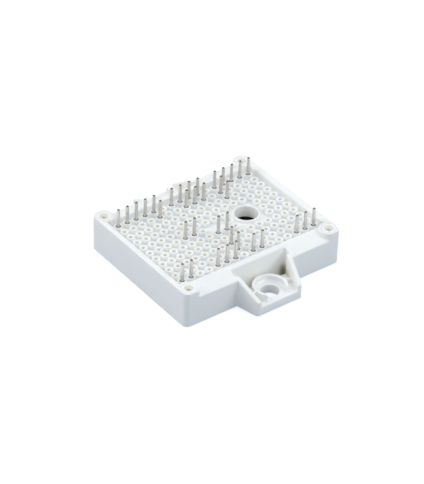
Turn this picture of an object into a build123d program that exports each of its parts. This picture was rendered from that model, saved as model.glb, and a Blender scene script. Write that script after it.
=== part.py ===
# Silicon carbide power module: a flat white housing with two screw tabs, a grid of pin
# pegs and 36 solder pins, closed from below by a copper-clad ceramic substrate.
# Frame: origin under the centre of the base copper, X along the long side of the body,
# Y through the two screw tabs, Z up along the pins. Millimetres.

import os
from math import atan2, cos, degrees, pi, radians, sin, sqrt, tan

from build123d import *

# Grid of pegs on the lid, columns along X and rows from the far long side to the near one
PITCH = 3.2
COLUMNS = 16
ROWS = 11
PEG_TOP_Z = 10.75
PEG_TOP_R = 1.28
PEG_FOOT_R = 1.4
PIT_R = 0.63
PIT_DEPTH = 1.0
PIN_BORE_R = 0.93
SMALL_SIDES = 6

# Filling well in the lid, centred on one grid cell, and the flat spot over the mould's gate
WELL_CELL = (11, 5)
WELL_R = 3.6
WELL_COLLAR_R = 4.25
WELL_DEPTH = 3.9
GATE_CELLS = ((7, 5), (8, 5))

# Housing body round the grid: recess, rims on the short sides, shoulders on the long ones
RECESS_MARGIN_X = 0.6
RECESS_MARGIN_Y = 0.7
RIM_WIDTH = 2.15
RIM_BEVEL_WIDTH = 0.75
RIM_BEVEL_DEPTH = 0.4
SHOULDER_WIDTH = 5.7
SHOULDER_FLAT = 1.1
SHOULDER_TOP_Z = 11.4
SHOULDER_EDGE_Z = 9.6
BODY_TOP_Z = 12.0
BODY_CORNER_R = 1.9
LID_TOP_Z = 9.7
LID_THICKNESS = 1.6
WALL = 2.8

# Corner bosses that carry the circuit board's screws
BOSS_INSET_X = 2.85
BOSS_INSET_Y = 2.75
BOSS_R = 3.05
BOSS_RING_R = 2.1
BOSS_GROOVE_R = 2.55
BOSS_GROOVE_DEPTH = 0.25
BOSS_GROOVE_SIDES = 12
BOSS_FUNNEL_R = 1.45
BOSS_FUNNEL_DEPTH = 0.6
BOSS_BORE_R = 0.65
BOSS_BORE_DEPTH = 8.0

# Screw tabs: walls, pocket, and the C-shaped collar with ribs round the screw's dished seat
TAB_HOLE_OUT = 2.5
TAB_HOLE_R = 2.8
TAB_REACH = 7.4
TAB_ROOT_X = 20.0
TAB_END_X = 16.2
TAB_CORNER_R = 0.9
TAB_WALL = 1.55
TAB_WALL_END_Z = 5.0
TAB_FLOOR_Z = 3.25
POCKET_X = 19.8
POCKET_BACK = 3.7
POCKET_FRONT = 1.6
POCKET_WALL = 1.4
POCKET_FLOOR_Z = 1.6
POCKET_CORNER_R = 0.5
COLLAR_OUTER_R = 5.3
COLLAR_INNER_R = 4.4
COLLAR_TOP_Z = 5.45
COLLAR_OPENING = 7.4
SEAT_FLAT_R = 3.5
SEAT_DISH_DEPTH = 0.7
RIB_THICKNESS = 0.8
RIB_SLOPE_DEG = 22.0

# Substrate: base copper, ceramic plate in its seat, circuit copper, glue bead and gel
SEAT_LIP = 1.65
SEAT_CLEARANCE = 0.2
CERAMIC_T = 0.38
BASE_COPPER_INSET = 1.3
BASE_COPPER_T = 0.3
CIRCUIT_T = 0.3
CIRCUIT_GAP = 0.8
ADHESIVE_T = 0.1
GEL_TOP_Z = 5.2

# Pins
PIN_R = 0.5
PIN_TOP_Z = 16.8
PIN_TIP_R = 0.32
PIN_TIP_LENGTH = 0.35

# Dies, their bond ribbons and the thermistor
DIE_X = 3.6
DIE_Y = 3.4
DIE_T = 0.2
RIBBON_WIDTH = 1.8
RIBBON_FOOT = 0.9
RIBBON_SLOPE = 1.3
RIBBON_T = 0.25
RIBBON_HEIGHT = 1.6
NTC_X = 1.3
NTC_Y = 2.0
NTC_T = 0.9
NTC_CELL = (6.2, 8.5)

# Columns that hold a pin, by row of the grid
PIN_COLUMNS = {
    0: (0, 1, 2, 3, 4, 6, 7, 8, 9, 11, 12, 13, 14, 15),
    1: (4, 7, 8, 9, 11),
    2: (11,),
    5: (4, 5),
    6: (7, 8),
    8: (7,),
    9: (7,),
    10: (0, 1, 4, 5, 6, 8, 9, 13, 14, 15),
}

# Islands of the circuit copper: first and last column, first and last row
CIRCUIT_ISLANDS = (
    (0, 3, 0, 4),
    (0, 5, 5, 8),
    (0, 3, 9, 10),
    (12, 15, 0, 4),
    (7, 15, 5, 7),
    (12, 15, 8, 10),
    (4, 5, 0, 1),
    (6, 9, 0, 3),
    (10, 11, 0, 2),
    (6, 7, 8, 8),
    (6, 7, 9, 9),
    (4, 6, 10, 10),
    (8, 9, 8, 10),
)

# Switches of the two half bridges: the columns of their two dies, and the dies' row; the
# bond ribbons run two rows towards the near side, onto the next island
SWITCHES = {
    "left_high": ((0.8, 2.4), 3.0),
    "left_low": ((0.8, 2.4), 7.0),
    "right_high": ((12.6, 14.2), 3.0),
    "right_low": ((12.6, 14.2), 6.5),
}
RIBBON_ROWS = 2

# How far a cutting tool reaches past what it cuts
OVERCUT = 1.0

# Sizes, heights and places worked out from those above
RECESS_X = COLUMNS * PITCH + 2 * RECESS_MARGIN_X
RECESS_Y = ROWS * PITCH + 2 * RECESS_MARGIN_Y
BODY_X = RECESS_X + 2 * RIM_WIDTH
BODY_Y = RECESS_Y + 2 * SHOULDER_WIDTH
BODY_EDGE_Y = BODY_Y / 2
BOSS_SPACING_X = BODY_X - 2 * BOSS_INSET_X
BOSS_SPACING_Y = BODY_Y - 2 * BOSS_INSET_Y
OVER_Z = BODY_TOP_Z + OVERCUT
LID_UNDER_Z = LID_TOP_Z - LID_THICKNESS
WELL_FOOT_Z = PEG_TOP_Z - WELL_DEPTH
TAB_END_Y = BODY_EDGE_Y + TAB_REACH
TAB_HOLE_Y = BODY_EDGE_Y + TAB_HOLE_OUT
POCKET_BACK_Y = BODY_EDGE_Y - POCKET_BACK
POCKET_FRONT_Y = BODY_EDGE_Y - POCKET_FRONT
HOUSING_FOOT_Z = BASE_COPPER_T
CERAMIC_TOP_Z = HOUSING_FOOT_Z + CERAMIC_T
SEAT_ROOF_Z = CERAMIC_TOP_Z + ADHESIVE_T
CIRCUIT_TOP_Z = CERAMIC_TOP_Z + CIRCUIT_T
PIN_CELLS = [(column, row) for row in PIN_COLUMNS for column in PIN_COLUMNS[row]]


def cell(column, row):
    """Place of a grid cell on the plan."""
    return Location(((column - (COLUMNS - 1) / 2) * PITCH, ((ROWS - 1) / 2 - row) * PITCH, 0))


def upright(plan, z_low, z_high):
    """Plan drawn on the ground, raised into a solid between two heights."""
    return Pos(0, 0, z_low) * extrude(plan, z_high - z_low, dir=(0, 0, 1))


def flat_sided(radius, sides=SMALL_SIDES):
    """Regular polygon of the same area as a circle, for small round forms that repeat."""
    corner_r = radius * sqrt(2 * pi / (sides * sin(2 * pi / sides)))
    return RegularPolygon(corner_r, sides, rotation=180 / sides)


def tapered_post(foot_radius, top_radius, z_low, z_high):
    """Flat-sided post that narrows towards its top."""
    foot = flat_sided(foot_radius)
    taper = degrees(atan2((foot_radius - top_radius) * cos(pi / SMALL_SIDES), z_high - z_low))
    return Pos(0, 0, z_low) * extrude(foot, z_high - z_low, taper=taper)


# Housing: one injection moulding, open below, with its lid, bosses and tabs

def boss_places():
    return GridLocations(BOSS_SPACING_X, BOSS_SPACING_Y, 2, 2)


def boss_posts():
    return [place * upright(Circle(BOSS_R), HOUSING_FOOT_Z, BODY_TOP_Z) for place in boss_places()]


def body_block():
    """Outer block with the sloping shoulders and the lid's recess cut between the bosses."""
    block = upright(RectangleRounded(BODY_X, BODY_Y, BODY_CORNER_R), HOUSING_FOOT_Z, BODY_TOP_Z)
    recess = upright(Rectangle(RECESS_X, RECESS_Y), LID_TOP_Z, OVER_Z)
    shoulder_profile = Polygon(
        (RECESS_Y / 2 - OVERCUT, SHOULDER_TOP_Z),
        (RECESS_Y / 2 + SHOULDER_FLAT, SHOULDER_TOP_Z),
        (BODY_EDGE_Y, SHOULDER_EDGE_Z),
        (BODY_EDGE_Y + OVERCUT, SHOULDER_EDGE_Z),
        (BODY_EDGE_Y + OVERCUT, OVER_Z),
        (RECESS_Y / 2 - OVERCUT, OVER_Z),
        align=None,
    )
    shoulder = extrude(Plane.YZ * shoulder_profile, BOSS_SPACING_X / 2, both=True)
    bevel_profile = Polygon(
        (RECESS_X / 2 - OVERCUT, BODY_TOP_Z - RIM_BEVEL_DEPTH),
        (RECESS_X / 2, BODY_TOP_Z - RIM_BEVEL_DEPTH),
        (RECESS_X / 2 + RIM_BEVEL_WIDTH, BODY_TOP_Z),
        (RECESS_X / 2 + RIM_BEVEL_WIDTH, OVER_Z),
        (RECESS_X / 2 - OVERCUT, OVER_Z),
        align=None,
    )
    bevel = extrude(Plane.XZ * bevel_profile, RECESS_Y / 2, both=True)
    cuts = recess + [shoulder, mirror(shoulder, Plane.XZ), bevel, mirror(bevel, Plane.YZ)]
    return block - (cuts - boss_posts())


def boss_holes():
    """Groove round each boss's raised ring, and the funnel and bore for its screw."""
    rim = flat_sided(BOSS_GROOVE_R, BOSS_GROOVE_SIDES) - flat_sided(BOSS_RING_R, BOSS_GROOVE_SIDES)
    groove = upright(rim, BODY_TOP_Z - BOSS_GROOVE_DEPTH, OVER_Z)
    funnel_z = BODY_TOP_Z - BOSS_FUNNEL_DEPTH
    on_foot = (Align.CENTER, Align.CENTER, Align.MIN)
    funnel = Pos(0, 0, funnel_z) * Cone(BOSS_BORE_R, BOSS_FUNNEL_R, BOSS_FUNNEL_DEPTH, align=on_foot)
    bore = upright(Circle(BOSS_BORE_R), BODY_TOP_Z - BOSS_BORE_DEPTH, funnel_z)
    return [place * tool for place in boss_places() for tool in (groove, funnel + bore)]


def tab_block():
    """Tapered tab on the far side, its top sloping down from the shoulder's edge."""
    plan = Polygon(
        (-TAB_ROOT_X / 2, BODY_EDGE_Y - OVERCUT),
        (TAB_ROOT_X / 2, BODY_EDGE_Y - OVERCUT),
        (TAB_ROOT_X / 2, BODY_EDGE_Y),
        (TAB_END_X / 2, TAB_END_Y),
        (-TAB_END_X / 2, TAB_END_Y),
        (-TAB_ROOT_X / 2, BODY_EDGE_Y),
        align=None,
    )
    plan = fillet(plan.vertices().group_by(Axis.Y)[-1], TAB_CORNER_R)
    above_slope = Polygon(
        (BODY_EDGE_Y, SHOULDER_EDGE_Z),
        (TAB_END_Y, TAB_WALL_END_Z),
        (TAB_END_Y + OVERCUT, TAB_WALL_END_Z),
        (TAB_END_Y + OVERCUT, OVER_Z),
        (BODY_EDGE_Y, OVER_Z),
        align=None,
    )
    block = upright(plan, HOUSING_FOOT_Z, SHOULDER_EDGE_Z)
    return block - extrude(Plane.YZ * above_slope, TAB_ROOT_X, both=True)


def tab_hollow():
    """What is cut from a far tab: pocket, space over the floor, screw hole."""
    back = Rectangle(POCKET_X, POCKET_FRONT_Y - POCKET_BACK_Y)
    back = Pos(0, (POCKET_BACK_Y + POCKET_FRONT_Y) / 2) * fillet(back.vertices(), POCKET_CORNER_R)
    inner_x = TAB_ROOT_X / 2 - TAB_WALL
    widening = (TAB_ROOT_X - TAB_END_X) / 2 / TAB_REACH
    start_y = POCKET_FRONT_Y - POCKET_CORNER_R
    start_x = inner_x + widening * (BODY_EDGE_Y - start_y)
    end_x = inner_x - widening * (TAB_REACH + OVERCUT)
    between_walls = Polygon(
        (-start_x, start_y),
        (start_x, start_y),
        (end_x, TAB_END_Y + OVERCUT),
        (-end_x, TAB_END_Y + OVERCUT),
        align=None,
    )
    hollow = upright(back, POCKET_FLOOR_Z, OVER_Z) + upright(between_walls, TAB_FLOOR_Z, OVER_Z)
    hollow -= [Pos(0, TAB_HOLE_Y) * form for form in [collar()] + collar_ribs()]
    return hollow + upright(Pos(0, TAB_HOLE_Y) * Circle(TAB_HOLE_R), 0, TAB_FLOOR_Z)


def collar():
    """C-shaped wall round the screw's seat, dished at its foot and open outwards."""
    wall = upright(Circle(COLLAR_OUTER_R), TAB_FLOOR_Z, COLLAR_TOP_Z)
    dish_z = TAB_FLOOR_Z + SEAT_DISH_DEPTH
    on_foot = (Align.CENTER, Align.CENTER, Align.MIN)
    dish = Pos(0, 0, TAB_FLOOR_Z) * Cone(SEAT_FLAT_R, COLLAR_INNER_R, SEAT_DISH_DEPTH, align=on_foot)
    opening = Pos(0, COLLAR_OUTER_R) * Rectangle(COLLAR_OPENING, 2 * COLLAR_OUTER_R)
    return wall - [
        upright(Circle(COLLAR_INNER_R), dish_z, COLLAR_TOP_Z),
        dish,
        upright(opening, TAB_FLOOR_Z, COLLAR_TOP_Z),
    ]


def collar_ribs():
    """Rib from each side of the collar to the tab's wall, its top falling outwards."""
    inside_collar = (COLLAR_OUTER_R + COLLAR_INNER_R) / 2
    inside_wall = TAB_ROOT_X / 2
    fall = (inside_wall - COLLAR_OUTER_R) * tan(radians(RIB_SLOPE_DEG))
    profile = Polygon(
        (inside_collar, TAB_FLOOR_Z),
        (inside_wall, TAB_FLOOR_Z),
        (inside_wall, COLLAR_TOP_Z - fall),
        (COLLAR_OUTER_R, COLLAR_TOP_Z),
        (inside_collar, COLLAR_TOP_Z),
        align=None,
    )
    rib = extrude(Plane.XZ * profile, RIB_THICKNESS / 2, both=True)
    return [rib, mirror(rib, Plane.YZ)]


def both_sides(far_side):
    return [far_side, Rot(0, 0, 180) * far_side]


def cavity_plan():
    """Room over the substrate, drawn in behind the tab pockets and round the boss posts."""
    deep_y = 2 * (POCKET_BACK_Y - POCKET_WALL)
    beside_pocket = POCKET_X + 2 * POCKET_WALL
    cavity_x = BODY_X - 2 * WALL
    plan = Rectangle(cavity_x, deep_y)
    for side in (-1, 1):
        width = (cavity_x - beside_pocket) / 2
        plan += Pos(side * (beside_pocket + width) / 2, 0) * Rectangle(width, BODY_Y - 2 * WALL)
    return plan - [place * Circle(BOSS_R) for place in boss_places()]


def peg_cells():
    """Grid cells that hold a peg: all but the well's, and those over the mould's gate."""
    column, row = WELL_CELL
    reach = int((WELL_COLLAR_R + PEG_FOOT_R) / PITCH)
    bare = {(column + i, row + j) for i in range(-reach, reach + 1) for j in range(-reach, reach + 1)}
    bare.update(GATE_CELLS)
    return [(c, r) for r in range(ROWS) for c in range(COLUMNS) if (c, r) not in bare]


def pegs():
    """Low tapered pegs, flat-sided because there are so many."""
    peg = tapered_post(PEG_FOOT_R, PEG_TOP_R, LID_TOP_Z, PEG_TOP_Z)
    return [cell(*place) * peg for place in peg_cells()]


def peg_pit():
    """Pointed pit in the top of a peg that holds no pin."""
    rim = [Vector(v.X, v.Y, PEG_TOP_Z) for v in flat_sided(PIT_R).vertices()]
    rim.sort(key=lambda point: atan2(point.Y, point.X))
    tip = Vector(0, 0, PEG_TOP_Z - PIT_DEPTH)
    walls = [Face(Wire.make_polygon([rim[i - 1], rim[i], tip])) for i in range(SMALL_SIDES)]
    return Solid(Shell(walls + [Face(Wire.make_polygon(rim))]))


def peg_holes():
    """A bore through the lid for each pin, and a pit in every other peg."""
    bore = upright(flat_sided(PIN_BORE_R), LID_UNDER_Z, PEG_TOP_Z)
    pit = peg_pit()
    return [cell(*place) * (bore if place in PIN_CELLS else pit) for place in peg_cells()]


def well(radius):
    """Upright cylinder on the well's axis, from the pegs' tops down into the housing."""
    return cell(*WELL_CELL) * upright(Circle(radius), WELL_FOOT_Z, PEG_TOP_Z)


def seat_plan(clearance):
    """Ceramic's outline, or with a clearance that of the seat which it lies in."""
    reach = 2 * (SEAT_LIP + SEAT_CLEARANCE - clearance)
    return Rectangle(BODY_X - reach, BODY_Y - reach)


def build_housing():
    housing = body_block() + both_sides(tab_block())
    housing -= [
        upright(cavity_plan(), 0, LID_UNDER_Z),
        upright(seat_plan(SEAT_CLEARANCE), 0, SEAT_ROOF_Z),
    ]
    housing -= both_sides(tab_hollow())
    housing -= boss_holes()
    housing += [well(WELL_COLLAR_R)] + pegs()
    return housing - ([well(WELL_R)] + peg_holes())


# Substrate

def build_base_copper():
    return upright(offset(seat_plan(0), -BASE_COPPER_INSET), 0, BASE_COPPER_T)


def build_ceramic():
    return upright(seat_plan(0), HOUSING_FOOT_Z, CERAMIC_TOP_Z)


def build_circuit():
    """Separate islands etched from one copper sheet, each covering whole grid cells."""
    islands = []
    for first_column, last_column, first_row, last_row in CIRCUIT_ISLANDS:
        centre = cell((first_column + last_column) / 2, (first_row + last_row) / 2)
        width = (last_column - first_column + 1) * PITCH - CIRCUIT_GAP
        depth = (last_row - first_row + 1) * PITCH - CIRCUIT_GAP
        islands.append(centre * upright(Rectangle(width, depth), CERAMIC_TOP_Z, CIRCUIT_TOP_Z))
    return islands


def build_adhesive():
    """Flat bead of glue between the ceramic's edge and the housing's seat."""
    return upright(seat_plan(0) - cavity_plan(), CERAMIC_TOP_Z, SEAT_ROOF_Z)


# What stands on the copper

def build_pin():
    """Round solder pin with a tapered tip."""
    tip_z = PIN_TOP_Z - PIN_TIP_LENGTH
    shaft = upright(flat_sided(PIN_R), CIRCUIT_TOP_Z, tip_z)
    return shaft + tapered_post(PIN_R, PIN_TIP_R, tip_z, PIN_TOP_Z)


def build_die():
    return upright(Rectangle(DIE_X, DIE_Y), CIRCUIT_TOP_Z, CIRCUIT_TOP_Z + DIE_T)


def build_ribbon():
    """Aluminium ribbon from the top of a die, in a flat loop, to the island two rows nearer."""
    span = RIBBON_ROWS * PITCH
    loop = Polygon(
        (0, DIE_T),
        (-RIBBON_SLOPE, RIBBON_HEIGHT),
        (RIBBON_SLOPE - span, RIBBON_HEIGHT),
        (-span, 0),
        (RIBBON_FOOT - span, 0),
        (RIBBON_FOOT + RIBBON_SLOPE - span, RIBBON_HEIGHT - RIBBON_T),
        (-RIBBON_FOOT - RIBBON_SLOPE, RIBBON_HEIGHT - RIBBON_T),
        (-RIBBON_FOOT, DIE_T),
        align=None,
    )
    return Pos(0, 0, CIRCUIT_TOP_Z) * extrude(Plane.YZ * loop, RIBBON_WIDTH / 2, both=True)


def build_thermistor():
    return cell(*NTC_CELL) * upright(Rectangle(NTC_X, NTC_Y), CIRCUIT_TOP_Z, CIRCUIT_TOP_Z + NTC_T)


def build_gel(sunk_pieces):
    """Soft gel poured over the substrate, moulded round everything that it covers."""
    return upright(cavity_plan(), CERAMIC_TOP_Z, GEL_TOP_Z) - sunk_pieces


# All pieces, one STEP file each

pins = {f"pin_c{column:02d}_r{row:02d}": cell(column, row) * build_pin() for column, row in PIN_CELLS}

dies = {}
ribbons = {}
for switch, (columns, row) in SWITCHES.items():
    for number, column in enumerate(columns, start=1):
        dies[f"die_{switch}_{number}"] = cell(column, row) * build_die()
    ribbons[f"bond_ribbons_{switch}"] = [cell(column, row) * build_ribbon() for column in columns]

circuit = build_circuit()
thermistor = build_thermistor()
sunk = circuit + [thermistor] + list(pins.values()) + list(dies.values())
for pair in ribbons.values():
    sunk += pair

pieces = {
    "housing": build_housing(),
    "base_copper": build_base_copper(),
    "ceramic_substrate": build_ceramic(),
    "circuit_copper": Compound(circuit),
    "adhesive_bead": build_adhesive(),
    "thermistor": thermistor,
    "silicone_gel": build_gel(sunk),
}
pieces.update(pins)
pieces.update(dies)
pieces.update({name: Compound(pair) for name, pair in ribbons.items()})

os.makedirs("parts", exist_ok=True)
for name, piece in pieces.items():
    export_step(piece, f"parts/{name}.step")
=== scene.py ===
# Silicon carbide power module as photographed: a white moulded housing with a pegged lid,
# tinned solder pins, and a copper-clad ceramic substrate that closes it from below.

import math

import bmesh
import bpy
from mathutils import Matrix, Vector


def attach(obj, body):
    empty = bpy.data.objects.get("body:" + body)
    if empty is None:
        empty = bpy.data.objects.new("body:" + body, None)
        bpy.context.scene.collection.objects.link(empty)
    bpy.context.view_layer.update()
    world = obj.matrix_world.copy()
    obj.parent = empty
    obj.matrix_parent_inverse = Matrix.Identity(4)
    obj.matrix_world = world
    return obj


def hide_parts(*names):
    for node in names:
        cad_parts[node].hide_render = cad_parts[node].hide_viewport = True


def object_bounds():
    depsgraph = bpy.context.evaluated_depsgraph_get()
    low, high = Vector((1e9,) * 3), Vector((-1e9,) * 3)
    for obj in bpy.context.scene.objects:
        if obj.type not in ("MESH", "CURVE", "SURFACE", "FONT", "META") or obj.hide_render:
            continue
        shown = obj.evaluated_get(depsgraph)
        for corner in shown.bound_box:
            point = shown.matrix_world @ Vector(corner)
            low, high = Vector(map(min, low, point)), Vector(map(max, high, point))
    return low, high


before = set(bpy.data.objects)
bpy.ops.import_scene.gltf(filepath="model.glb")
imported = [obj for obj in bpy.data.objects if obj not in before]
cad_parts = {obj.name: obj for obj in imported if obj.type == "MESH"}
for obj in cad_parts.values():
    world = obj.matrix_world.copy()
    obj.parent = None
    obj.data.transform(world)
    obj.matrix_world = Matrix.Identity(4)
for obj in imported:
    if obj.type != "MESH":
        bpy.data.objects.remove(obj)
cad_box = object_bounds()
MM = 0.001


# Housing: one moulding of white glass-filled plastic, open below. The mould leaves a small
# radius on every edge. The plastic lets a little light through, which warms its hollows.

PLASTIC_PALE = (0.89, 0.89, 0.88, 1.0)
PLASTIC_DEEP = (0.875, 0.875, 0.862, 1.0)
PLASTIC_GLOSS = (0.42, 0.52)
PLASTIC_GRAIN_SCALE = 1800.0
PLASTIC_GRAIN_DEPTH = 0.012 * MM
PLASTIC_DRIFT_SCALE = 60.0
PLASTIC_GLOW = (1.0, 0.86, 0.62)
PLASTIC_GLOW_REACH = 1.5 * MM
PLASTIC_GLOW_SHARE = 0.35
GRAIN_DETAIL = 3.0
DRIFT_DETAIL = 1.0


def make_grain_group():
    """Fine grain for a bump, and a broad drift for colour and gloss."""
    group = bpy.data.node_groups.new("surface grain", "ShaderNodeTree")
    add_socket = group.interface.new_socket
    add_socket("Stretch", in_out="INPUT", socket_type="NodeSocketVector")
    add_socket("Grain Scale", in_out="INPUT", socket_type="NodeSocketFloat")
    add_socket("Drift Scale", in_out="INPUT", socket_type="NodeSocketFloat")
    add_socket("Grain", in_out="OUTPUT", socket_type="NodeSocketFloat")
    add_socket("Drift", in_out="OUTPUT", socket_type="NodeSocketFloat")
    nodes = group.nodes
    links = group.links
    entry = nodes.new("NodeGroupInput")
    result = nodes.new("NodeGroupOutput")
    place = nodes.new("ShaderNodeTexCoord")
    stretch = nodes.new("ShaderNodeVectorMath")
    stretch.operation = "MULTIPLY"
    grain = nodes.new("ShaderNodeTexNoise")
    grain.inputs["Detail"].default_value = GRAIN_DETAIL
    drift = nodes.new("ShaderNodeTexNoise")
    drift.inputs["Detail"].default_value = DRIFT_DETAIL
    links.new(place.outputs["Object"], stretch.inputs[0])
    links.new(entry.outputs["Stretch"], stretch.inputs[1])
    links.new(stretch.outputs["Vector"], grain.inputs["Vector"])
    links.new(place.outputs["Object"], drift.inputs["Vector"])
    links.new(entry.outputs["Grain Scale"], grain.inputs["Scale"])
    links.new(entry.outputs["Drift Scale"], drift.inputs["Scale"])
    links.new(grain.outputs["Fac"], result.inputs["Grain"])
    links.new(drift.outputs["Fac"], result.inputs["Drift"])
    return group


grain_group = make_grain_group()


DEEP_UP_TO = 0.3
PALE_FROM = 0.7
BUMP_STRENGTH = 0.3
EVEN = (1.0, 1.0, 1.0)


def surface(
    name, pale, deep, gloss, grain_scale, depth, stretch=EVEN, drift_scale=90.0, metal=0.0
):
    """Material that drifts between two colours and two roughnesses, with a fine grain."""
    material = bpy.data.materials.new(name)
    material.use_nodes = True
    nodes = material.node_tree.nodes
    links = material.node_tree.links
    shader = nodes["Principled BSDF"]
    shader.inputs["Metallic"].default_value = metal
    grain = nodes.new("ShaderNodeGroup")
    grain.node_tree = grain_group
    grain.inputs["Stretch"].default_value = stretch
    grain.inputs["Grain Scale"].default_value = grain_scale
    grain.inputs["Drift Scale"].default_value = drift_scale
    tint = nodes.new("ShaderNodeValToRGB")
    tint.color_ramp.elements[0].position = DEEP_UP_TO
    tint.color_ramp.elements[0].color = deep
    tint.color_ramp.elements[1].position = PALE_FROM
    tint.color_ramp.elements[1].color = pale
    roughness = nodes.new("ShaderNodeMapRange")
    roughness.inputs["To Min"].default_value = gloss[0]
    roughness.inputs["To Max"].default_value = gloss[1]
    bump = nodes.new("ShaderNodeBump")
    bump.inputs["Strength"].default_value = BUMP_STRENGTH
    bump.inputs["Distance"].default_value = depth
    links.new(grain.outputs["Drift"], tint.inputs["Fac"])
    links.new(grain.outputs["Drift"], roughness.inputs["Value"])
    links.new(grain.outputs["Grain"], bump.inputs["Height"])
    links.new(tint.outputs["Color"], shader.inputs["Base Color"])
    links.new(roughness.outputs["Result"], shader.inputs["Roughness"])
    links.new(bump.outputs["Normal"], shader.inputs["Normal"])
    return material


def shader_of(material):
    """The main shader of a material."""
    return material.node_tree.nodes["Principled BSDF"]


def let_light_in(material, share, reach):
    """Lets a share of the light into the plastic, where it spreads and turns warmer."""
    shader = shader_of(material)
    shader.inputs["Subsurface Weight"].default_value = share
    shader.inputs["Subsurface Radius"].default_value = PLASTIC_GLOW
    shader.inputs["Subsurface Scale"].default_value = reach


white_plastic = surface(
    "white plastic",
    PLASTIC_PALE,
    PLASTIC_DEEP,
    PLASTIC_GLOSS,
    PLASTIC_GRAIN_SCALE,
    PLASTIC_GRAIN_DEPTH,
    drift_scale=PLASTIC_DRIFT_SCALE,
)
let_light_in(white_plastic, PLASTIC_GLOW_SHARE, PLASTIC_GLOW_REACH)

PITCH = 3.2 * MM
COLUMNS = 16
ROWS = 11
WELL_CELL = (11, 5)
WELL_CELLS_WIDE = 1
GATE_CELLS = ((7, 5), (8, 5))
PEG_REACH = 1.62 * MM


def cell_place(column, row):
    """Centre of a grid cell, as seen from above."""
    return Vector(((column - (COLUMNS - 1) / 2) * PITCH, ((ROWS - 1) / 2 - row) * PITCH, 0.0))


def holds_peg(column, row):
    """True for the cells of the grid that carry a peg."""
    beside_well = max(abs(column - WELL_CELL[0]), abs(row - WELL_CELL[1])) <= WELL_CELLS_WIDE
    on_lid = 0 <= column < COLUMNS and 0 <= row < ROWS
    return on_lid and not beside_well and (column, row) not in GATE_CELLS


def peg_cell_near(point):
    """The peg cell round a point, or None."""
    column = round(point.x / PITCH + (COLUMNS - 1) / 2)
    row = round((ROWS - 1) / 2 - point.y / PITCH)
    if not holds_peg(column, row):
        return None
    return (column, row) if (point - cell_place(column, row)).xy.length < PEG_REACH else None


def open_for_editing(piece):
    """Selects one object alone and opens its mesh."""
    bpy.ops.object.select_all(action="DESELECT")
    piece.select_set(True)
    bpy.context.view_layer.objects.active = piece
    bpy.ops.object.mode_set(mode="EDIT")


def pick(piece, wanted, kind="faces"):
    """Selects the faces or edges that a test picks out, and nothing else."""
    bpy.ops.mesh.select_mode(type="FACE" if kind == "faces" else "EDGE")
    bpy.ops.mesh.select_all(action="DESELECT")
    mesh = bmesh.from_edit_mesh(piece.data)
    for part in getattr(mesh, kind):
        if wanted(part):
            part.select_set(True)
    mesh.select_flush_mode()
    bmesh.update_edit_mesh(piece.data)


def on_one_peg(face):
    """True for the faces of a flat-sided peg, its pit or its bore."""
    found = peg_cell_near(face.calc_center_median())
    return found is not None and all(peg_cell_near(v.co) == found for v in face.verts)


# The flat-sided pegs come off the lid; round ones are set over their places further on
ONE_POINT = 0.001 * MM
PEG_HOLE_SIDES = 8
housing_skin = bpy.data.objects.new("housing_skin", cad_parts["housing"].data.copy())
bpy.context.scene.collection.objects.link(housing_skin)
open_for_editing(housing_skin)
bpy.ops.mesh.select_all(action="SELECT")
bpy.ops.mesh.remove_doubles(threshold=ONE_POINT)
bpy.ops.mesh.customdata_custom_splitnormals_clear()
pick(housing_skin, on_one_peg)
bpy.ops.mesh.delete(type="FACE")
pin_cells = set()
for node_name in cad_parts:
    if node_name.startswith("pin_c"):
        pin_column, pin_row = node_name.removeprefix("pin_c").split("_r")
        pin_cells.add((int(pin_column), int(pin_row)))
for pin_cell in sorted(pin_cells):
    pick(
        housing_skin,
        lambda edge: edge.is_boundary and peg_cell_near(edge.verts[0].co) == pin_cell,
        kind="edges",
    )
    bpy.ops.mesh.bridge_edge_loops()
pick(housing_skin, lambda edge: edge.is_boundary, kind="edges")
bpy.ops.mesh.fill_holes(sides=PEG_HOLE_SIDES)

# Flat faces become one face each, cut through the middles of their holes
CUT_WITHIN = 0.0001 * MM
FLAT_WITHIN = math.radians(0.5)
SHORTEST_EDGE = 0.12 * MM


def cut_across(place, direction):
    """Cuts the open mesh along a plane and keeps the cut when flat faces are merged."""
    bpy.ops.mesh.select_all(action="SELECT")
    bpy.ops.mesh.bisect(plane_co=place, plane_no=direction, threshold=CUT_WITHIN)
    bpy.ops.mesh.mark_seam()


def merge_flat_faces():
    """Makes one face of each flat stretch between the cuts."""
    bpy.ops.mesh.dissolve_limited(angle_limit=FLAT_WITHIN, delimit={"SEAM"})


BOSS_PLACE = (25.5 * MM, 21.25 * MM)
TAB_HOLE_Y = 26.5 * MM
well_place = cell_place(*WELL_CELL)
for cut_x in (0.0, well_place.x, BOSS_PLACE[0], -BOSS_PLACE[0]):
    cut_across((cut_x, 0.0, 0.0), (1.0, 0.0, 0.0))
for cut_y in (0.0, BOSS_PLACE[1], -BOSS_PLACE[1], TAB_HOLE_Y, -TAB_HOLE_Y):
    cut_across((0.0, cut_y, 0.0), (0.0, 1.0, 0.0))
bpy.ops.mesh.select_all(action="SELECT")
merge_flat_faces()
bpy.ops.mesh.remove_doubles(threshold=SHORTEST_EDGE)
merge_flat_faces()
bpy.ops.mesh.mark_seam(clear=True)

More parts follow.
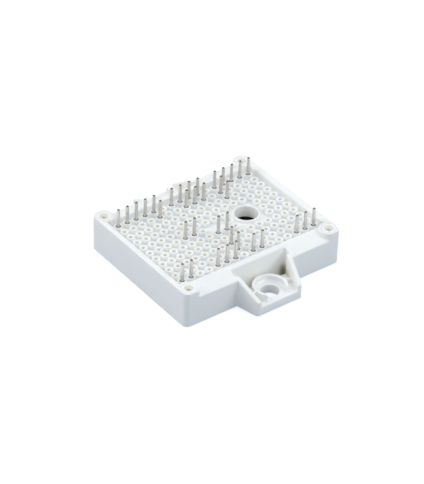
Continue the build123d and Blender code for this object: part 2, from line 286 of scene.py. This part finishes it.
# Radii of the edges, as shares of the largest one, by the place of an edge on the moulding
EDGE_RADIUS = 0.35 * MM
EDGE_SEGMENTS = 3
SHARP_FROM = math.radians(35)
WALL_SHARE = 0.7
TAB_SHARE = 1.0
FOOT_SHARE = 0.5
COLLAR_SHARE = 0.3
BOSS_SHARE = 0.2
FOOT_TO_Z = 1.0 * MM
CAVITY_X = 25.6 * MM
CAVITY_Y = 21.3 * MM
CAVITY_TOP_Z = 8.2 * MM
BOSS_REACH = 3.4 * MM
BOSS_BORE_REACH = 0.9 * MM
SHOULDER_LOW_Z = 9.0 * MM
TAB_REACH_X = 12.8 * MM
TAB_FRONT_Y = 31.2 * MM
COLLAR_REACH = 5.6 * MM
RIB_REACH_X = 7.6 * MM
RIB_HALF = 0.6 * MM
SEAT_HIGH_Z = 4.3 * MM


def from_nearest_boss(point):
    """Distance of a point from the axis of the corner boss on its side."""
    return math.hypot(abs(point.x) - BOSS_PLACE[0], abs(point.y) - BOSS_PLACE[1])


def roundness(edge):
    """How much of the full radius an edge gets: less on fine details, none out of sight."""
    middle = (edge.verts[0].co + edge.verts[1].co) / 2
    across = abs(middle.x)
    along = abs(middle.y)
    from_boss = from_nearest_boss(middle)
    by_collar = math.hypot(across, along - TAB_HOLE_Y) < COLLAR_REACH and along < TAB_FRONT_Y
    on_rib = across < RIB_REACH_X and abs(along - TAB_HOLE_Y) < RIB_HALF
    if len(edge.link_faces) != 2 or edge.calc_face_angle() < SHARP_FROM:
        return 0.0
    if across < CAVITY_X and along < CAVITY_Y and middle.z < CAVITY_TOP_Z:
        return 0.0
    if peg_cell_near(middle) or from_boss < BOSS_BORE_REACH:
        return 0.0
    if from_boss < BOSS_REACH and middle.z > SHOULDER_LOW_Z:
        return BOSS_SHARE
    if (by_collar or on_rib) and middle.z > FOOT_TO_Z:
        return COLLAR_SHARE if middle.z > SEAT_HIGH_Z else 0.0
    if middle.z < FOOT_TO_Z:
        return FOOT_SHARE
    return TAB_SHARE if along > CAVITY_Y and across < TAB_REACH_X else WALL_SHARE


mesh = bmesh.from_edit_mesh(housing_skin.data)
edge_radius = mesh.edges.layers.float.new("bevel_weight_edge")
for edge in mesh.edges:
    edge[edge_radius] = roundness(edge)
bmesh.update_edit_mesh(housing_skin.data)
bpy.ops.object.mode_set(mode="OBJECT")
bevel = housing_skin.modifiers.new("radii", "BEVEL")
bevel.width = EDGE_RADIUS
bevel.segments = EDGE_SEGMENTS
bevel.limit_method = "WEIGHT"
bevel.use_clamp_overlap = False
bevel.loop_slide = False
bpy.ops.object.modifier_apply(modifier=bevel.name)
bpy.ops.object.shade_smooth_by_angle(angle=SHARP_FROM)
evened = housing_skin.modifiers.new("even shading", "WEIGHTED_NORMAL")
evened.keep_sharp = True
bpy.ops.object.modifier_apply(modifier=evened.name)

# Walls that face other white walls look paler than the lamps alone make them, so they get
# painted bounce light; the screw bores' bowls get a tan painted warm shade, and the tab pockets
# painted shade at the foot of their two far corners
BOUNCE_LIGHT_PALE = (0.985, 0.975, 0.94, 1.0)
BOUNCE_LIGHT_DEEP = (0.975, 0.965, 0.925, 1.0)
# Olive-dark colour of painted shade at the foot of the pockets' far corners
POCKET_SHADE = (0.40, 0.38, 0.26, 1.0)
SHADE_FROM_X = 7.6 * MM
SHADE_FULL_X = 9.4 * MM
SHADE_FROM_Z = 6.6 * MM
SHADE_FULL_Z = 2.6 * MM
# The next two colours are a tan painted warm shade for the funnels of the screw bosses
BOWL_SHADE_PALE = (0.76, 0.735, 0.65, 1.0)
BOWL_SHADE_DEEP = (0.74, 0.715, 0.63, 1.0)
HOLLOW_GLOSS = (0.5, 0.6)
HOLLOW_GRAIN_DEPTH = 0.01 * MM

# Paler colour on walls that face other white walls: painted bounce light
painted_bounce_plastic = surface(
    "white plastic painted paler as bounce light",
    BOUNCE_LIGHT_PALE,
    BOUNCE_LIGHT_DEEP,
    PLASTIC_GLOSS,
    PLASTIC_GRAIN_SCALE,
    PLASTIC_GRAIN_DEPTH,
    drift_scale=PLASTIC_DRIFT_SCALE,
)
# Pocket plastic: painted bounce light, with painted shade added in its two far corners below
painted_pocket_light_and_shade = painted_bounce_plastic.copy()
painted_pocket_light_and_shade.name = "pocket plastic, painted bounce light and corner shade"
# Tan in the screw bosses' funnels: painted warm shade
painted_bowl_shade = surface(
    "screw bowl plastic, painted warm shade",
    BOWL_SHADE_PALE,
    BOWL_SHADE_DEEP,
    HOLLOW_GLOSS,
    PLASTIC_GRAIN_SCALE,
    HOLLOW_GRAIN_DEPTH,
)


def shade_corners(material):
    """Paints shade into the plastic towards the foot of a tab pocket's two far corners."""
    nodes = material.node_tree.nodes
    links = material.node_tree.links
    place = nodes.new("ShaderNodeTexCoord")
    split = nodes.new("ShaderNodeSeparateXYZ")
    across = nodes.new("ShaderNodeMath")
    across.operation = "ABSOLUTE"
    links.new(place.outputs["Object"], split.inputs["Vector"])
    links.new(split.outputs["X"], across.inputs[0])
    share = nodes.new("ShaderNodeMath")
    share.operation = "MULTIPLY"
    ways = (
        (across.outputs["Value"], SHADE_FROM_X, SHADE_FULL_X),
        (split.outputs["Z"], SHADE_FROM_Z, SHADE_FULL_Z),
    )
    for index, (way, begins, full) in enumerate(ways):
        ease = nodes.new("ShaderNodeMapRange")
        ease.interpolation_type = "SMOOTHSTEP"
        ease.inputs["From Min"].default_value = begins
        ease.inputs["From Max"].default_value = full
        links.new(way, ease.inputs["Value"])
        links.new(ease.outputs["Result"], share.inputs[index])
    shade = nodes.new("ShaderNodeMix")
    shade.data_type = "RGBA"
    shade.inputs["B"].default_value = POCKET_SHADE
    shader = shader_of(material)
    tint = shader.inputs["Base Color"].links[0].from_socket
    links.new(share.outputs["Value"], shade.inputs["Factor"])
    links.new(tint, shade.inputs["A"])
    links.new(shade.outputs["Result"], shader.inputs["Base Color"])


shade_corners(painted_pocket_light_and_shade)

BOSS_FUNNEL_R = 1.5 * MM
BOSS_FOOT_Z = 3.5 * MM
BOSS_MOUTH_Z = 11.96 * MM
WELL_WALL_R = 3.7 * MM
POCKET_REACH_X = 10.0 * MM
POCKET_BACK_Y = 20.2 * MM
POCKET_SIDE_Y = 22.5 * MM
POCKET_FLOOR_TO_Z = 4.0 * MM
UPRIGHT_BELOW = 0.35
SLOPE_FROM = 0.3
TILT_LIMIT = 0.5


def in_boss(face):
    """True for the funnel and the bore of a corner boss."""
    middle = face.calc_center_median()
    return from_nearest_boss(middle) < BOSS_FUNNEL_R and BOSS_FOOT_Z < middle.z < BOSS_MOUTH_Z


def in_boss_bowl(face):
    """True for the funnel of a corner boss."""
    return in_boss(face) and face.normal.z > SLOPE_FROM


def in_recess(face):
    """True for the walls of the filling well and of the boss bores."""
    middle = face.calc_center_median()
    by_well = math.hypot(middle.x - well_place.x, middle.y - well_place.y) < WELL_WALL_R
    in_well = by_well and abs(face.normal.z) < TILT_LIMIT and middle.z > FOOT_TO_Z
    in_bore = in_boss(face) and not in_boss_bowl(face)
    return in_well or in_bore


def in_pocket(face):
    """True for the walls and the floor of a tab's pocket."""
    middle = face.calc_center_median()
    across = abs(middle.x)
    along = abs(middle.y)
    at_back = across < POCKET_REACH_X and POCKET_BACK_Y < along < POCKET_SIDE_Y
    at_side = COLLAR_REACH < across < POCKET_REACH_X and POCKET_BACK_Y < along < TAB_FRONT_Y
    faces_in = face.normal.x * middle.x < 0 and abs(face.normal.x) > TILT_LIMIT
    seen = face.normal.z > -TILT_LIMIT and middle.z > FOOT_TO_Z
    upright = face.normal.z < UPRIGHT_BELOW or middle.z < POCKET_FLOOR_TO_Z
    return (at_back or (at_side and faces_in)) and seen and upright


housing_skin.data.materials.clear()
for plastic in (white_plastic, painted_bowl_shade, painted_pocket_light_and_shade, painted_bounce_plastic):
    housing_skin.data.materials.append(plastic)
open_for_editing(housing_skin)
for slot, chosen in ((1, in_boss_bowl), (2, in_pocket), (3, in_recess)):
    pick(housing_skin, chosen)
    housing_skin.active_material_index = slot
    bpy.ops.object.material_slot_assign()
bpy.ops.object.mode_set(mode="OBJECT")
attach(housing_skin, "root")
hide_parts("housing")


# Pegs: low round posts moulded on the lid, one per grid cell. Those with a pin are pierced
# right through the lid, and the others only have a shallow pit.

PEG_SIDES = 16
PEG_SUNK_Z = 9.6 * MM
PEG_FLARE = (1.6 * MM, 9.71 * MM)
PEG_OUTLINE = ((1.42 * MM, 9.86 * MM), (1.345 * MM, 10.62 * MM), (1.25 * MM, 10.75 * MM))
PIT_OUTLINE = ((0.7 * MM, 10.75 * MM), (0.57 * MM, 10.62 * MM), (0.46 * MM, 9.9 * MM))
BORE_OUTLINE = ((0.84 * MM, 10.75 * MM), (0.74 * MM, 10.62 * MM), (0.72 * MM, 8.15 * MM))
# The next two colours are a tan painted warm shade for the pits of the pegs
PIT_SHADE_PALE = (0.83, 0.79, 0.68, 1.0)
PIT_SHADE_DEEP = (0.79, 0.75, 0.635, 1.0)
HOLLOW_GLOW_REACH = 2.0 * MM
HOLLOW_GLOW_SHARE = 0.25
# The next two colours are a dark brown painted shade down the pin bores
BORE_SHADE_PALE = (0.38, 0.30, 0.19, 1.0)
BORE_SHADE_DEEP = (0.32, 0.25, 0.16, 1.0)
SMOOTH_BELOW = math.radians(50)
FACING = 0.9
LIP_SLACK = 0.01 * MM
FOOT_SLACK = 0.1 * MM

# Tan in the pits of the pegs: painted warm shade
painted_pit_shade = surface(
    "peg pit plastic, painted warm shade",
    PIT_SHADE_PALE,
    PIT_SHADE_DEEP,
    HOLLOW_GLOSS,
    PLASTIC_GRAIN_SCALE,
    HOLLOW_GRAIN_DEPTH,
)
let_light_in(painted_pit_shade, HOLLOW_GLOW_SHARE, HOLLOW_GLOW_REACH)
# Dark brown down the pin bores: painted shade
painted_bore_shade = surface(
    "pin bore plastic, painted shade",
    BORE_SHADE_PALE,
    BORE_SHADE_DEEP,
    HOLLOW_GLOSS,
    PLASTIC_GRAIN_SCALE,
    HOLLOW_GRAIN_DEPTH,
)


def facing_up(face):
    """True for a level face that looks up."""
    return face.normal.z > FACING


def facing_down(face):
    """True for a level face that looks down."""
    return face.normal.z < -FACING


def round_stock(name, sides, radius, z_low, z_high):
    """Upright cylinder on the Z axis, opened for editing with its top face picked."""
    bpy.ops.object.select_all(action="DESELECT")
    bpy.ops.mesh.primitive_cylinder_add(
        vertices=sides,
        radius=radius,
        depth=z_high - z_low,
        location=(0.0, 0.0, (z_low + z_high) / 2),
    )
    stock = bpy.context.object
    stock.name = name
    bpy.ops.object.transform_apply(location=True, rotation=False, scale=False)
    bpy.ops.object.mode_set(mode="EDIT")
    pick(stock, facing_up)
    return stock


def draw_through(start, outline):
    """Extrudes the picked round face through the radii and heights of an outline."""
    radius, height = start
    for next_radius, next_height in outline:
        move = (0.0, 0.0, next_height - height)
        bpy.ops.mesh.extrude_region_move(TRANSFORM_OT_translate={"value": move})
        ratio = next_radius / radius
        middle = (0.0, 0.0, next_height)
        bpy.ops.transform.resize(value=(ratio, ratio, 1.0), center_override=middle)
        radius, height = next_radius, next_height


def line_hollow(piece, shade_paint, outline):
    """Paints the wall and floor of a peg's hole a darker tone below its bevelled lip, as
    painted shade.
    """
    piece.data.materials.append(white_plastic)
    piece.data.materials.append(shade_paint)
    lip_r, lip_z = outline[1]
    reach = lip_r + LIP_SLACK
    top = lip_z + LIP_SLACK
    pick(piece, lambda face: all(v.co.xy.length < reach and v.co.z < top for v in face.verts))
    piece.active_material_index = 1
    bpy.ops.object.material_slot_assign()


empty_peg = round_stock("empty_peg", PEG_SIDES, PEG_FLARE[0], PEG_SUNK_Z, PEG_FLARE[1])
draw_through(PEG_FLARE, PEG_OUTLINE + PIT_OUTLINE)
line_hollow(empty_peg, painted_pit_shade, PIT_OUTLINE)
bpy.ops.object.mode_set(mode="OBJECT")
bpy.ops.object.shade_smooth_by_angle(angle=SMOOTH_BELOW)

pierced_peg = round_stock("pierced_peg", PEG_SIDES, PEG_FLARE[0], PEG_SUNK_Z, PEG_FLARE[1])
draw_through(PEG_FLARE, PEG_OUTLINE + BORE_OUTLINE)
bore_foot_z = BORE_OUTLINE[-1][1] + FOOT_SLACK


def ends_bore(face):
    """True for the bottom of the pierced peg and for the face at the foot of its bore."""
    return facing_down(face) or (facing_up(face) and face.calc_center_median().z < bore_foot_z)


pick(pierced_peg, ends_bore)
bpy.ops.mesh.bridge_edge_loops()
line_hollow(pierced_peg, painted_bore_shade, BORE_OUTLINE)
bpy.ops.object.mode_set(mode="OBJECT")
bpy.ops.object.shade_smooth_by_angle(angle=SMOOTH_BELOW)


def set_on_cell(pattern, column, row):
    """Copies a piece made on the Z axis to a grid cell, with a mesh of its own."""
    copy = pattern.copy()
    copy.data = pattern.data.copy()
    copy.data.transform(Matrix.Translation(cell_place(column, row)))
    bpy.context.scene.collection.objects.link(copy)
    return copy


lid_pegs = []
for row in range(ROWS):
    for column in range(COLUMNS):
        if holds_peg(column, row):
            pattern = pierced_peg if (column, row) in pin_cells else empty_peg
            lid_pegs.append(set_on_cell(pattern, column, row))
bpy.data.objects.remove(empty_peg)
bpy.data.objects.remove(pierced_peg)

bpy.ops.object.select_all(action="DESELECT")
for peg in lid_pegs:
    peg.select_set(True)
bpy.context.view_layer.objects.active = lid_pegs[0]
bpy.ops.object.join()
pegs = bpy.context.object
pegs.name = "lid_pegs"
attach(pegs, "root")


# Solder pins: round tinned copper wire, cropped at the top, so that the cut end is bare and
# dull. Each stands on the circuit copper and comes up through its peg.

PIN_SIDES = 20
PIN_START = (0.5 * MM, 16.3 * MM)
PIN_FOOT_Z = 0.98 * MM
PIN_TIP = ((0.42 * MM, 16.6 * MM), (0.27 * MM, 16.8 * MM))
TIN_STRETCH = (1.0, 1.0, 0.15)
TIN_PALE = (0.68, 0.67, 0.64, 1.0)
TIN_DEEP = (0.60, 0.59, 0.56, 1.0)
CROPPED_PALE = (0.23, 0.125, 0.10, 1.0)
CROPPED_DEEP = (0.13, 0.085, 0.07, 1.0)

tinned_wire = surface(
    "tinned wire",
    TIN_PALE,
    TIN_DEEP,
    gloss=(0.28, 0.4),
    grain_scale=1500.0,
    depth=0.01 * MM,
    stretch=TIN_STRETCH,
    drift_scale=500.0,
    metal=1.0,
)
cropped_end = surface(
    "cropped wire end",
    CROPPED_PALE,
    CROPPED_DEEP,
    gloss=(0.45, 0.6),
    grain_scale=4000.0,
    depth=0.01 * MM,
    drift_scale=900.0,
    metal=0.6,
)

pin = round_stock("pin", PIN_SIDES, PIN_START[0], PIN_FOOT_Z, PIN_START[1])
draw_through(PIN_START, PIN_TIP)
pin.data.materials.append(tinned_wire)
pin.data.materials.append(cropped_end)
pick(pin, lambda face: face.calc_center_median().z > PIN_TIP[0][1])
pin.active_material_index = 1
bpy.ops.object.material_slot_assign()
bpy.ops.object.mode_set(mode="OBJECT")
bpy.ops.object.shade_smooth_by_angle(angle=SMOOTH_BELOW)

for column, row in sorted(pin_cells):
    wire = set_on_cell(pin, column, row)
    wire.name = f"wire_c{column:02d}_r{row:02d}"
    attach(wire, "root")
    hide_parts(f"pin_c{column:02d}_r{row:02d}")
bpy.data.objects.remove(pin)


# Substrate: a ceramic plate with rolled copper on both faces. The lower copper is the cooling
# face and shows underneath; the upper one is etched into the islands of the circuit.

COPPER_PALE = (0.83, 0.50, 0.36, 1.0)
COPPER_DEEP = (0.72, 0.40, 0.27, 1.0)
ROLLING_STRETCH = (0.06, 1.0, 1.0)
CERAMIC_PALE = (0.86, 0.85, 0.81, 1.0)
CERAMIC_DEEP = (0.81, 0.80, 0.76, 1.0)


def paint(node_name, material):
    """Gives a CAD node its finish."""
    node_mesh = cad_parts[node_name].data
    node_mesh.materials.clear()
    node_mesh.materials.append(material)


rolled_copper = surface(
    "rolled copper",
    COPPER_PALE,
    COPPER_DEEP,
    gloss=(0.3, 0.42),
    grain_scale=900.0,
    depth=0.01 * MM,
    stretch=ROLLING_STRETCH,
    drift_scale=110.0,
    metal=1.0,
)
fired_ceramic = surface(
    "fired ceramic",
    CERAMIC_PALE,
    CERAMIC_DEEP,
    gloss=(0.5, 0.62),
    grain_scale=2600.0,
    depth=0.01 * MM,
)
paint("base_copper", rolled_copper)
paint("circuit_copper", rolled_copper)
paint("ceramic_substrate", fired_ceramic)


# Chips on the circuit copper: dark carbide dies with a metal top, aluminium ribbons bonded
# from them to the next island, and a small ceramic thermistor.

DIE_PALE = (0.47, 0.46, 0.45, 1.0)
DIE_DEEP = (0.36, 0.36, 0.37, 1.0)
RIBBON_PALE = (0.78, 0.78, 0.77, 1.0)
RIBBON_DEEP = (0.68, 0.68, 0.67, 1.0)
GLAZE_PALE = (0.07, 0.07, 0.075, 1.0)
GLAZE_DEEP = (0.045, 0.045, 0.05, 1.0)

die_metal = surface(
    "die top metal",
    DIE_PALE,
    DIE_DEEP,
    gloss=(0.3, 0.45),
    grain_scale=3000.0,
    depth=0.004 * MM,
    metal=0.8,
)
aluminium_ribbon = surface(
    "aluminium ribbon",
    RIBBON_PALE,
    RIBBON_DEEP,
    gloss=(0.32, 0.45),
    grain_scale=1500.0,
    depth=0.006 * MM,
    metal=1.0,
)
thermistor_glaze = surface(
    "thermistor glaze",
    GLAZE_PALE,
    GLAZE_DEEP,
    gloss=(0.35, 0.5),
    grain_scale=2500.0,
    depth=0.006 * MM,
)
for node_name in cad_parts:
    if node_name.startswith("die_"):
        paint(node_name, die_metal)
    if node_name.startswith("bond_ribbons_"):
        paint(node_name, aluminium_ribbon)
paint("thermistor", thermistor_glaze)


# Fillings: a flat bead of white glue holds the ceramic in its seat, and clear soft gel covers
# the circuit. Down the filling well the gel looks dark, so the clear gel is painted near black,
# as painted shade.

GLUE_PALE = (0.80, 0.79, 0.76, 1.0)
GLUE_DEEP = (0.74, 0.73, 0.70, 1.0)
# Near black on the clear gel: painted shade
GEL_SHADE_PALE = (0.11, 0.105, 0.095, 1.0)
GEL_SHADE_DEEP = (0.07, 0.068, 0.062, 1.0)

glue = surface(
    "white glue", GLUE_PALE, GLUE_DEEP, gloss=(0.35, 0.5), grain_scale=1200.0, depth=0.02 * MM
)
soft_gel_painted_shade = surface(
    "soft gel", GEL_SHADE_PALE, GEL_SHADE_DEEP, gloss=(0.08, 0.16), grain_scale=300.0, depth=0.02 * MM
)
paint("adhesive_bead", glue)
paint("silicone_gel", soft_gel_painted_shade)


# Floor: a white table that catches the module's soft shadow. The camera and metal see it
# almost white whatever falls on it.

FLOOR_SIZE = 4.0
FLOOR_COLOUR = (0.34, 0.385, 0.45, 1.0)
FLOOR_ROUGHNESS = 0.9
FLOOR_GLOW = 0.75
WHITE = (1.0, 1.0, 1.0, 1.0)

bpy.ops.object.select_all(action="DESELECT")
bpy.ops.mesh.primitive_plane_add(size=FLOOR_SIZE, location=(0.0, 0.0, cad_box[0].z))
floor = bpy.context.object
floor.name = "white_table"
floor_paint = bpy.data.materials.new("white table")
floor_paint.use_nodes = True
floor_nodes = floor_paint.node_tree.nodes
floor_links = floor_paint.node_tree.links
floor_shader = shader_of(floor_paint)
floor_shader.inputs["Base Color"].default_value = FLOOR_COLOUR
floor_shader.inputs["Roughness"].default_value = FLOOR_ROUGHNESS


def seen_directly(nodes, links):
    """1 for what the camera, a mirror or glass sees, 0 for what only lights other things."""
    path = nodes.new("ShaderNodeLightPath")
    straight = nodes.new("ShaderNodeMath")
    straight.operation = "MAXIMUM"
    either = nodes.new("ShaderNodeMath")
    either.operation = "MAXIMUM"
    links.new(path.outputs["Is Camera Ray"], straight.inputs[0])
    links.new(path.outputs["Is Glossy Ray"], straight.inputs[1])
    links.new(straight.outputs["Value"], either.inputs[0])
    links.new(path.outputs["Is Transmission Ray"], either.inputs[1])
    return either


floor_shader.inputs["Emission Color"].default_value = WHITE
floor_glow = floor_nodes.new("ShaderNodeMath")
floor_glow.operation = "MULTIPLY"
floor_glow.inputs[1].default_value = FLOOR_GLOW
floor_seen = seen_directly(floor_nodes, floor_links)
floor_links.new(floor_seen.outputs["Value"], floor_glow.inputs[0])
floor_links.new(floor_glow.outputs["Value"], floor_shader.inputs["Emission Strength"])
floor.data.materials.append(floor_paint)


# Studio: a cool white room with a broad soft lamp above and one far out on either side of the
# camera, so that the near corner stays darker than both faces. Seen directly, the room is
# white. Places and sizes of lamps are in metres.

ROOM_COLOUR = (0.88, 0.945, 1.0, 1.0)
ROOM_STRENGTH = 0.66
WHITE_STRENGTH = 1.0

world = bpy.data.worlds.new("studio")
bpy.context.scene.world = world
world.use_nodes = True
room_nodes = world.node_tree.nodes
room_links = world.node_tree.links
room_light = room_nodes["Background"]
room_light.inputs["Color"].default_value = ROOM_COLOUR
room_light.inputs["Strength"].default_value = ROOM_STRENGTH
white_room = room_nodes.new("ShaderNodeBackground")
white_room.inputs["Color"].default_value = WHITE
white_room.inputs["Strength"].default_value = WHITE_STRENGTH
room_mix = room_nodes.new("ShaderNodeMixShader")
room_seen = seen_directly(room_nodes, room_links)
room_links.new(room_seen.outputs["Value"], room_mix.inputs["Fac"])
room_links.new(room_light.outputs["Background"], room_mix.inputs[1])
room_links.new(white_room.outputs["Background"], room_mix.inputs[2])
room_links.new(room_mix.outputs["Shader"], room_nodes["World Output"].inputs["Surface"])


def soft_lamp(name, place, size, power, colour):
    """Square lamp aimed at the module."""
    bpy.ops.object.light_add(type="AREA", location=place)
    lamp = bpy.context.object
    lamp.name = name
    lamp.data.size = size
    lamp.data.energy = power
    lamp.data.color = colour
    lamp.rotation_euler = Vector(place).to_track_quat("Z", "Y").to_euler()


soft_lamp(
    "lamp above", place=(0.0, 0.06, 0.6), size=0.4, power=0.65, colour=(1.0, 1.0, 1.0)
)
soft_lamp(
    "lamp on the left", place=(-0.5, 0.29, 0.4), size=0.35, power=1.3, colour=(1.0, 0.97, 0.93)
)
soft_lamp(
    "lamp on the right",
    place=(0.37, -0.44, 0.4),
    size=0.35,
    power=1.15,
    colour=(0.96, 0.985, 1.0),
)


# Camera: stands where the photo was taken from, with its long lens. The lens was found from the
# places of the pegs and of the body's corners in the photo.

CAMERA_PLACE = Vector((-334.273, -431.667, 406.813)) * MM
CAMERA_TURN_DEG = (53.6054, -1.5067, -36.533)
CAMERA_LENS = 169.815
CAMERA_SENSOR = 36.0
CAMERA_NEAREST = 0.01
CAMERA_FARTHEST = 10.0

camera_data = bpy.data.cameras.new("camera")
camera_data.sensor_width = CAMERA_SENSOR
camera_data.lens = CAMERA_LENS
camera_data.clip_start = CAMERA_NEAREST
camera_data.clip_end = CAMERA_FARTHEST
camera = bpy.data.objects.new("camera", camera_data)
bpy.context.scene.collection.objects.link(camera)
camera.location = CAMERA_PLACE
camera.rotation_euler = [math.radians(angle) for angle in CAMERA_TURN_DEG]
bpy.context.scene.camera = camera
bpy.context.scene.view_settings.view_transform = "Standard"
